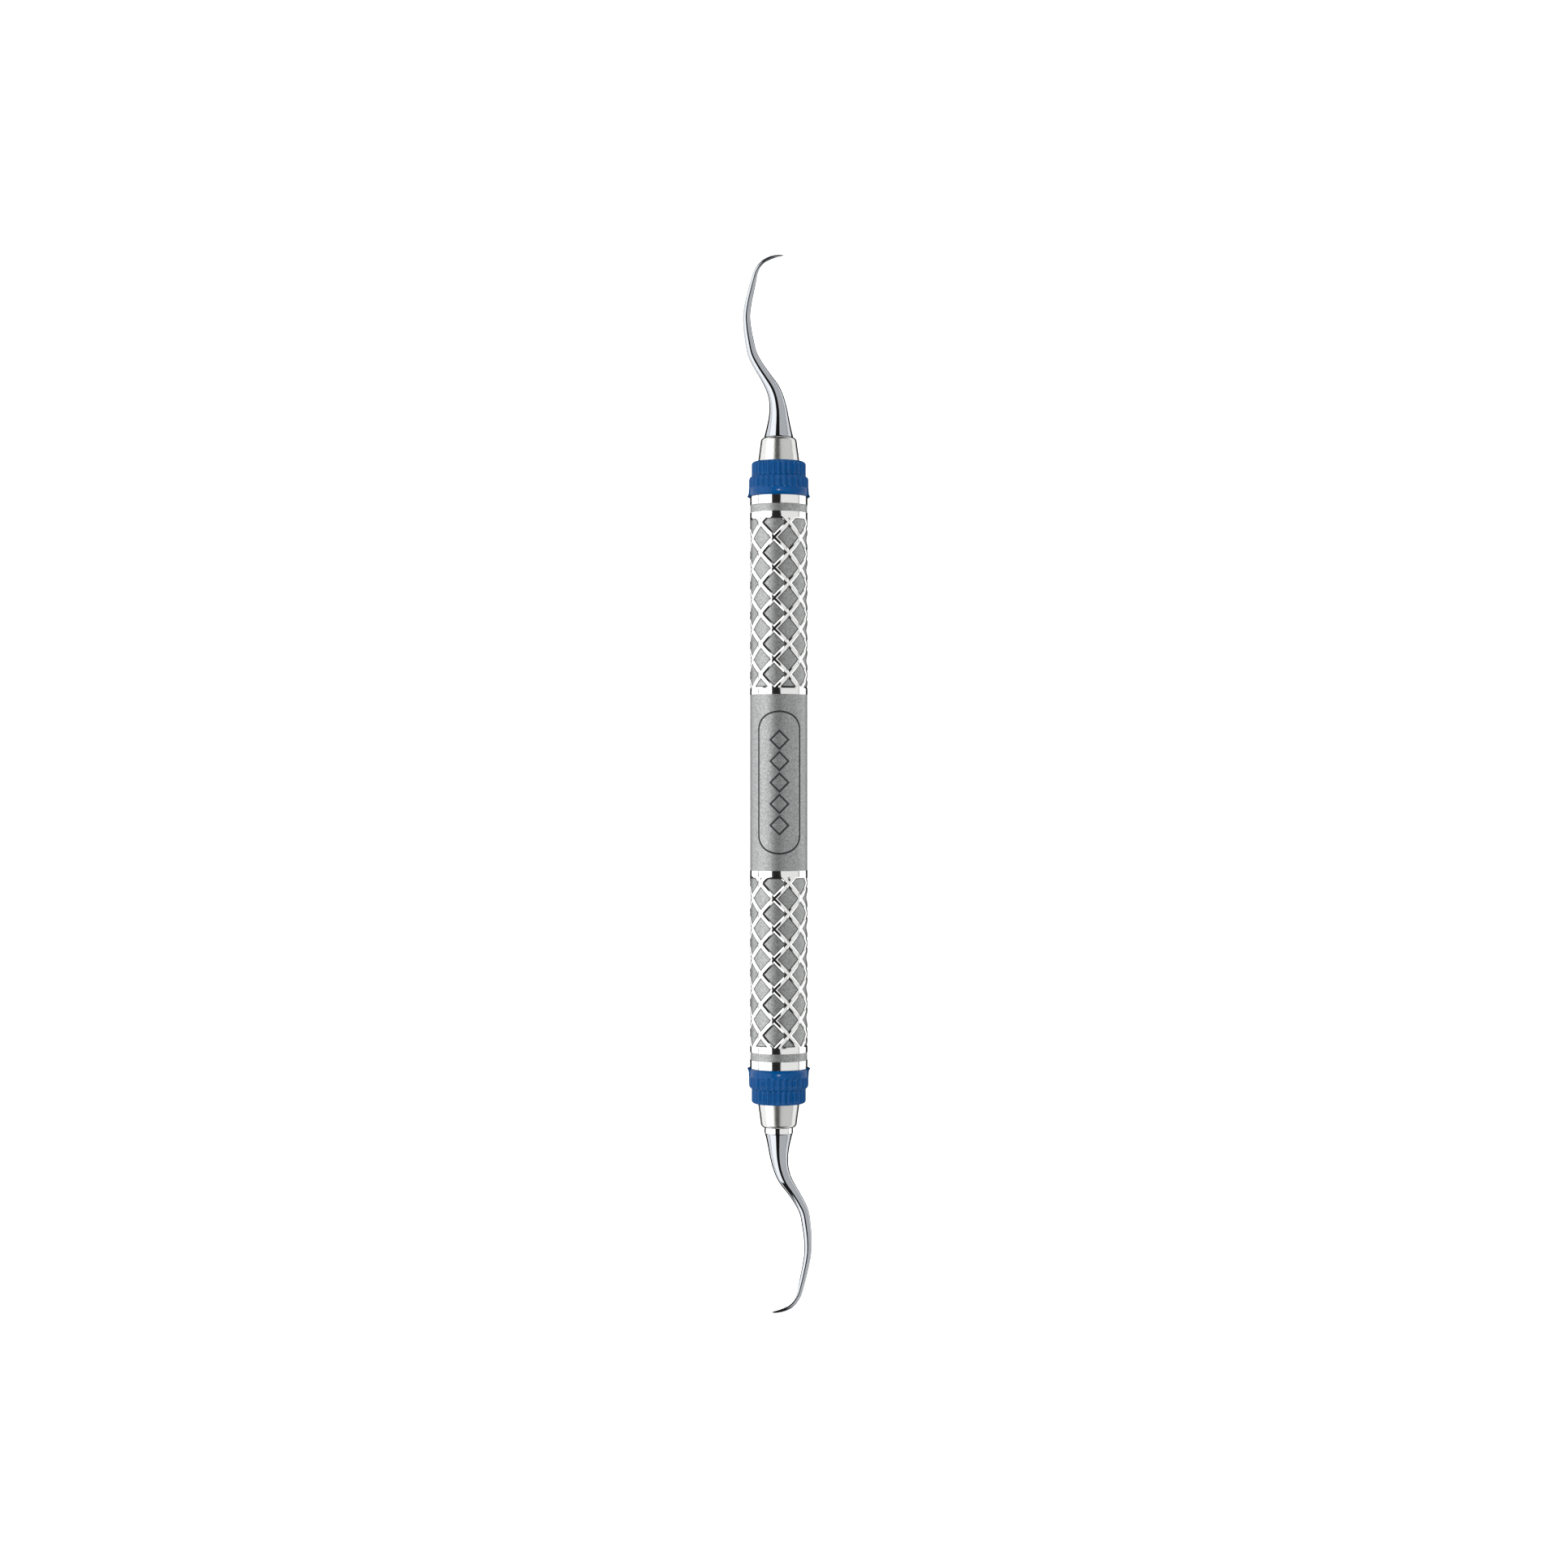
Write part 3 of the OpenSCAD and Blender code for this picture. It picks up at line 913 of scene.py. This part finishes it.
# Stations along a tip, in millimetres: x, y, z, diameter, and how flat the blade is from 0 to 1.
SHANK_PATH = (
    (0, 58.5, 0, 4.15, 0),
    (0, 60, 0, 3.52, 0),
    (-0.08, 61.6, 0, 3.02, 0),
    (-0.4, 63.5, 0.1, 2.58, 0),
    (-1.03, 65.2, 0.2, 2.27, 0),
    (-2.15, 67, 0.4, 1.88, 0),
    (-3.45, 69, 0.65, 1.7, 0),
    (-4.37, 70.8, 0.85, 1.61, 0),
    (-4.86, 73, 1, 1.5, 0),
    (-5.18, 75, 1.05, 1.37, 0),
    (-5.3, 77, 1, 1.25, 0),
    (-5.05, 79, 0.8, 1.18, 0),
    (-4.58, 81.2, 0.5, 1.1, 0),
    (-4.2, 82.8, 0.3, 1.03, 0.1),
    (-3.85, 84.25, 0.15, 0.98, 0.4),
    (-3.3, 85.4, 0.05, 1, 0.85),
    (-2.5, 86.25, 0, 1.03, 1),
    (-1.57, 86.75, 0, 0.97, 1),
    (-0.73, 87.02, 0, 0.84, 1),
    (0, 87.17, 0, 0.64, 1),
    (0.46, 87.2, 0, 0.46, 1),
    (0.72, 87.2, 0, 0.28, 1),
    (0.8, 87.2, 0, 0.08, 1),
)
# Diameter at the cone's nose, and how much it loses per millimetre further out.
BASE_D = 4.9
BASE_TAPER = 0.45
# The first bend, over which the lower tip leans back.
BEND_START = 68
BEND_H = 9
# Rings between two stations, sides of a ring, and the share of the blade left under its flat face.
SPAN_STEPS = 8
TIP_SIDES = 48
FACE_KEEP = 0.1
# Bevel where the tip meets the cone.
SEAT_BEVEL = 0.05


def stations(neck, shift):
    """Stations of a tip, from its seat to its toe, in millimetres."""
    seat = (0, NOSE / MM + neck, 0, BASE_D - BASE_TAPER * (neck - shift), 0)
    return np.array([seat] + [(x, y + shift, z, d, flat) for x, y, z, d, flat in SHANK_PATH])


def smooth_path(points, lean):
    """The stations joined by smooth curves, leaning back over the first bend."""
    last = len(points) - 1
    path = []
    for i in range(last):
        a, b, c, d = points[max(i - 1, 0)], points[i], points[i + 1], points[min(i + 2, last)]
        for k in range(SPAN_STEPS):
            t = k / SPAN_STEPS
            rise = (c - a) * t + (2 * a - 5 * b + 4 * c - d) * t**2 + (3 * b - a - 3 * c + d) * t**3
            path.append(0.5 * (2 * b + rise))
    path = np.array(path + [points[last]])
    path[:, 0] += lean * np.clip(path[:, 1] - BEND_START, 0, BEND_H)
    return path


def tip_shape(neck, shift, lean, tang_r):
    """Vertices and faces of a tip: tang, shank and half-round blade, closed at both ends."""
    path = smooth_path(stations(neck, shift), lean)
    heading = np.gradient(path[:, :3], axis=0)
    heading[0] = (0, 1, 0)
    heading /= np.linalg.norm(heading, axis=1)[:, None]
    seat = path[0, 1]
    rings = []
    turns = [2 * math.pi * (j + 0.5) / TIP_SIDES for j in range(TIP_SIDES)]
    for r, y in ((tang_r, TANG_START / MM), (tang_r, seat), (path[0, 3] / 2 - SEAT_BEVEL, seat)):
        rings.append([(r * math.cos(a), y, r * math.sin(a)) for a in turns])
    for (x, y, z, d, flat), along in zip(path, heading):
        side = np.array((0, 0, 1)) - along[2] * along
        side /= np.linalg.norm(side)
        face = np.cross(along, side)
        r = d / 2
        cut = r * (1 - (1 - FACE_KEEP) * flat)
        shift_in = (r - cut) / 2
        spot = np.array((x, y, z))
        ring = []
        for a in turns:
            out = min(r * math.cos(a), cut) + shift_in
            ring.append(tuple(spot + face * out + side * r * math.sin(a)))
        rings.append(ring)
    rings[3] = [(x, y + SEAT_BEVEL, z) for x, y, z in rings[3]]
    vertices = [tuple(c * MM for c in point) for ring in rings for point in ring]
    n = TIP_SIDES
    faces = []
    for i in range(len(rings) - 1):
        for j in range(n):
            k = (j + 1) % n
            faces.append((i * n + j, i * n + k, (i + 1) * n + k, (i + 1) * n + j))
    last = (len(rings) - 1) * n
    for start, centre in ((0, (0, TANG_START, 0)), (last, tuple(c * MM for c in path[-1, :3]))):
        vertices.append(centre)
        faces += [(start + j, start + (j + 1) % n, len(vertices) - 1) for j in range(n)]
    return vertices, faces


class SCALER_OT_working_ends(bpy.types.Operator):
    """Forges and grinds the two working ends"""

    bl_idname = "scaler.working_ends"
    bl_label = "Working Ends"

    def execute(self, context):
        tips = context.scene.scaler_tips
        mirror = mirror_stainless(context.scene.scaler_finishes)
        for end in ENDS:
            if end == "upper":
                vertices, faces = tip_shape(0, 0, 0, tips.tang_r / MM)
            else:
                vertices, faces = tip_shape(
                    LOWER_NECK / MM, tips.lower_shift / MM, tips.lower_lean, tips.tang_r / MM
                )
                vertices = mirrored(vertices)
            tip = new_piece(f"{end}_curette_tip", vertices, faces, mirror)
            finish_piece(tip, f"{end}_working_end", sharp=45)
        return {"FINISHED"}


# ---------------------------------------------------------------- stage


FLOOR_SIZE = 6.0
FLAG_LEN = 0.2
# Where the softboxes begin and end, in degrees around the handle from straight above it.
LEFT_ARC = (-87, -28)
RIGHT_ARC = (8, 87)
# Distance of the floor and glint lights.
LAMP_DISTANCE = 0.8


def light_group(name):
    """The collection of objects that a group of lights shines on."""
    return bpy.data.collections.get(name) or bpy.data.collections.new(name)


def softbox(name, tilt, lean, size, radiance, distance, shines_on=None):
    """A soft rectangular light aimed at the middle of the handle, unseen by the camera."""
    light = bpy.data.lights.new(name, "AREA")
    light.shape = "RECTANGLE"
    light.size, light.size_y = size
    light.energy = radiance * size[0] * size[1] * math.pi
    lamp = bpy.data.objects.new(name, light)
    lamp.rotation_euler = (math.radians(tilt), math.radians(lean), 0)
    lamp.location = lamp.rotation_euler.to_matrix() @ Vector((0, 0, distance))
    lamp.visible_camera = False
    if shines_on:
        lamp.light_linking.receiver_collection = light_group(shines_on)
    bpy.context.scene.collection.objects.link(lamp)


def black_flag(width, height, floor_z):
    """A black card under the handle that only reflections see: a painted reflection of the shade
    under the handle, for the steel's dark edges.
    """
    material = bpy.data.materials.new("reflected_shade_black")
    material.use_nodes = True
    shader = material.node_tree.nodes["Principled BSDF"]
    shader.inputs["Base Color"].default_value = (0, 0, 0, 1)
    shader.inputs["Roughness"].default_value = 1
    x, y = width / 2, height / 2
    z = floor_z + 0.01 * MM
    corners = [(-x, -y, z), (x, -y, z), (x, y, z), (-x, y, z)]
    flag = new_piece("black_flag", corners, [(0, 1, 2, 3)], material)
    # Seen only in reflections: it paints the reflected shade under the handle into the steel's edges.
    flag.visible_camera = flag.visible_diffuse = flag.visible_shadow = False


def studio_room(stage):
    """A dark room for the steel to reflect, in front of a pale backdrop."""
    world = bpy.data.worlds.new("Studio")
    world.use_nodes = True
    tree = world.node_tree
    tree.nodes.clear()
    room = add(tree, "ShaderNodeBackground", {"Strength": stage.room})
    backdrop = add(tree, "ShaderNodeBackground", {"Color": (*[stage.backdrop] * 3, 1)})
    ray = add(tree, "ShaderNodeLightPath")
    pick = add(
        tree,
        "ShaderNodeMixShader",
        {0: ray.outputs["Is Camera Ray"], 1: room.outputs[0], 2: backdrop.outputs[0]},
    )
    add(tree, "ShaderNodeOutputWorld", {"Surface": pick.outputs[0]})
    bpy.context.scene.world = world


class SCALER_OT_stage(bpy.types.Operator):
    """Adds the floor, the lights and the camera"""

    bl_idname = "scaler.stage"
    bl_label = "Stage"

    def execute(self, context):
        scene, stage = context.scene, context.scene.scaler_stage
        half = FLOOR_SIZE / 2
        floor_z = REST_Z - 0.02 * MM
        corners = [(x * half, y * half, floor_z) for x, y in ((-1, -1), (1, -1), (1, 1), (-1, 1))]
        floor = new_piece("floor", corners, [(0, 1, 2, 3)], studio_floor(scene.scaler_finishes))
        black_flag(stage.flag_w, FLAG_LEN, floor_z)
        for name, (low, high), radiance in (
            ("softbox_left", LEFT_ARC, stage.left_radiance),
            ("softbox_right", RIGHT_ARC, stage.right_radiance),
        ):
            width = 2 * stage.box_distance * math.tan(math.radians(high - low) / 2)
            lean = (low + high) / 2
            softbox(name, 0, lean, (width, stage.box_len), radiance, stage.box_distance)
        light_group("floor").objects.link(floor)
        for end, sign in (("upper", -1), ("lower", 1)):
            for kind, tilt, side, radiance, shines_on in (
                ("floor", 55, 0.6, stage.floor_radiance, "floor"),
                ("glint", 24, 0.08, stage.glint_radiance, "rings"),
            ):
                lamp = f"{end}_{kind}_light"
                softbox(lamp, sign * tilt, 0, (side, side), radiance, LAMP_DISTANCE, shines_on)
        studio_room(stage)
        camera = bpy.data.cameras.new("camera")
        camera.sensor_width = 36
        camera.lens = camera.sensor_width * stage.camera_h / stage.frame_w
        camera.clip_start = 0.01
        holder = bpy.data.objects.new("camera", camera)
        holder.location = (stage.camera_x, stage.camera_y, stage.camera_h)
        scene.collection.objects.link(holder)
        scene.camera = holder
        scene.view_settings.view_transform = "Standard"
        return {"FINISHED"}


# ---------------------------------------------------------------- add-on


class SCALER_PT_panel(bpy.types.Panel):
    """Builds the scaler piece by piece"""

    bl_label = "Hand Scaler"
    bl_idname = "SCALER_PT_panel"
    bl_space_type = "VIEW_3D"
    bl_region_type = "UI"
    bl_category = "Scaler"

    def draw(self, context):
        for operator in OPERATORS:
            self.layout.operator(operator.bl_idname)


SETTINGS = {
    "scaler_handle": ScalerHandleSizes,
    "scaler_engraving": ScalerEngravingSizes,
    "scaler_rings": ScalerRingSizes,
    "scaler_tips": ScalerTipSizes,
    "scaler_finishes": ScalerFinishes,
    "scaler_stage": ScalerStage,
}
OPERATORS = (
    SCALER_OT_stage,
    SCALER_OT_handle_tube,
    SCALER_OT_end_cones,
    SCALER_OT_grip_rings,
    SCALER_OT_working_ends,
)


def register():
    """Adds the settings, the operators and the panel."""
    for name, group in SETTINGS.items():
        bpy.utils.register_class(group)
        setattr(bpy.types.Scene, name, bpy.props.PointerProperty(type=group))
    for kind in (*OPERATORS, SCALER_PT_panel):
        bpy.utils.register_class(kind)


def unregister():
    """Takes them away again."""
    for kind in (SCALER_PT_panel, *reversed(OPERATORS)):
        bpy.utils.unregister_class(kind)
    for name, group in reversed(SETTINGS.items()):
        delattr(bpy.types.Scene, name)
        bpy.utils.unregister_class(group)


def main():
    """Builds everything."""
    register()
    bpy.ops.scaler.stage()
    bpy.ops.scaler.handle_tube()
    bpy.ops.scaler.end_cones()
    bpy.ops.scaler.grip_rings()
    bpy.ops.scaler.working_ends()


if __name__ == "__main__":
    main()
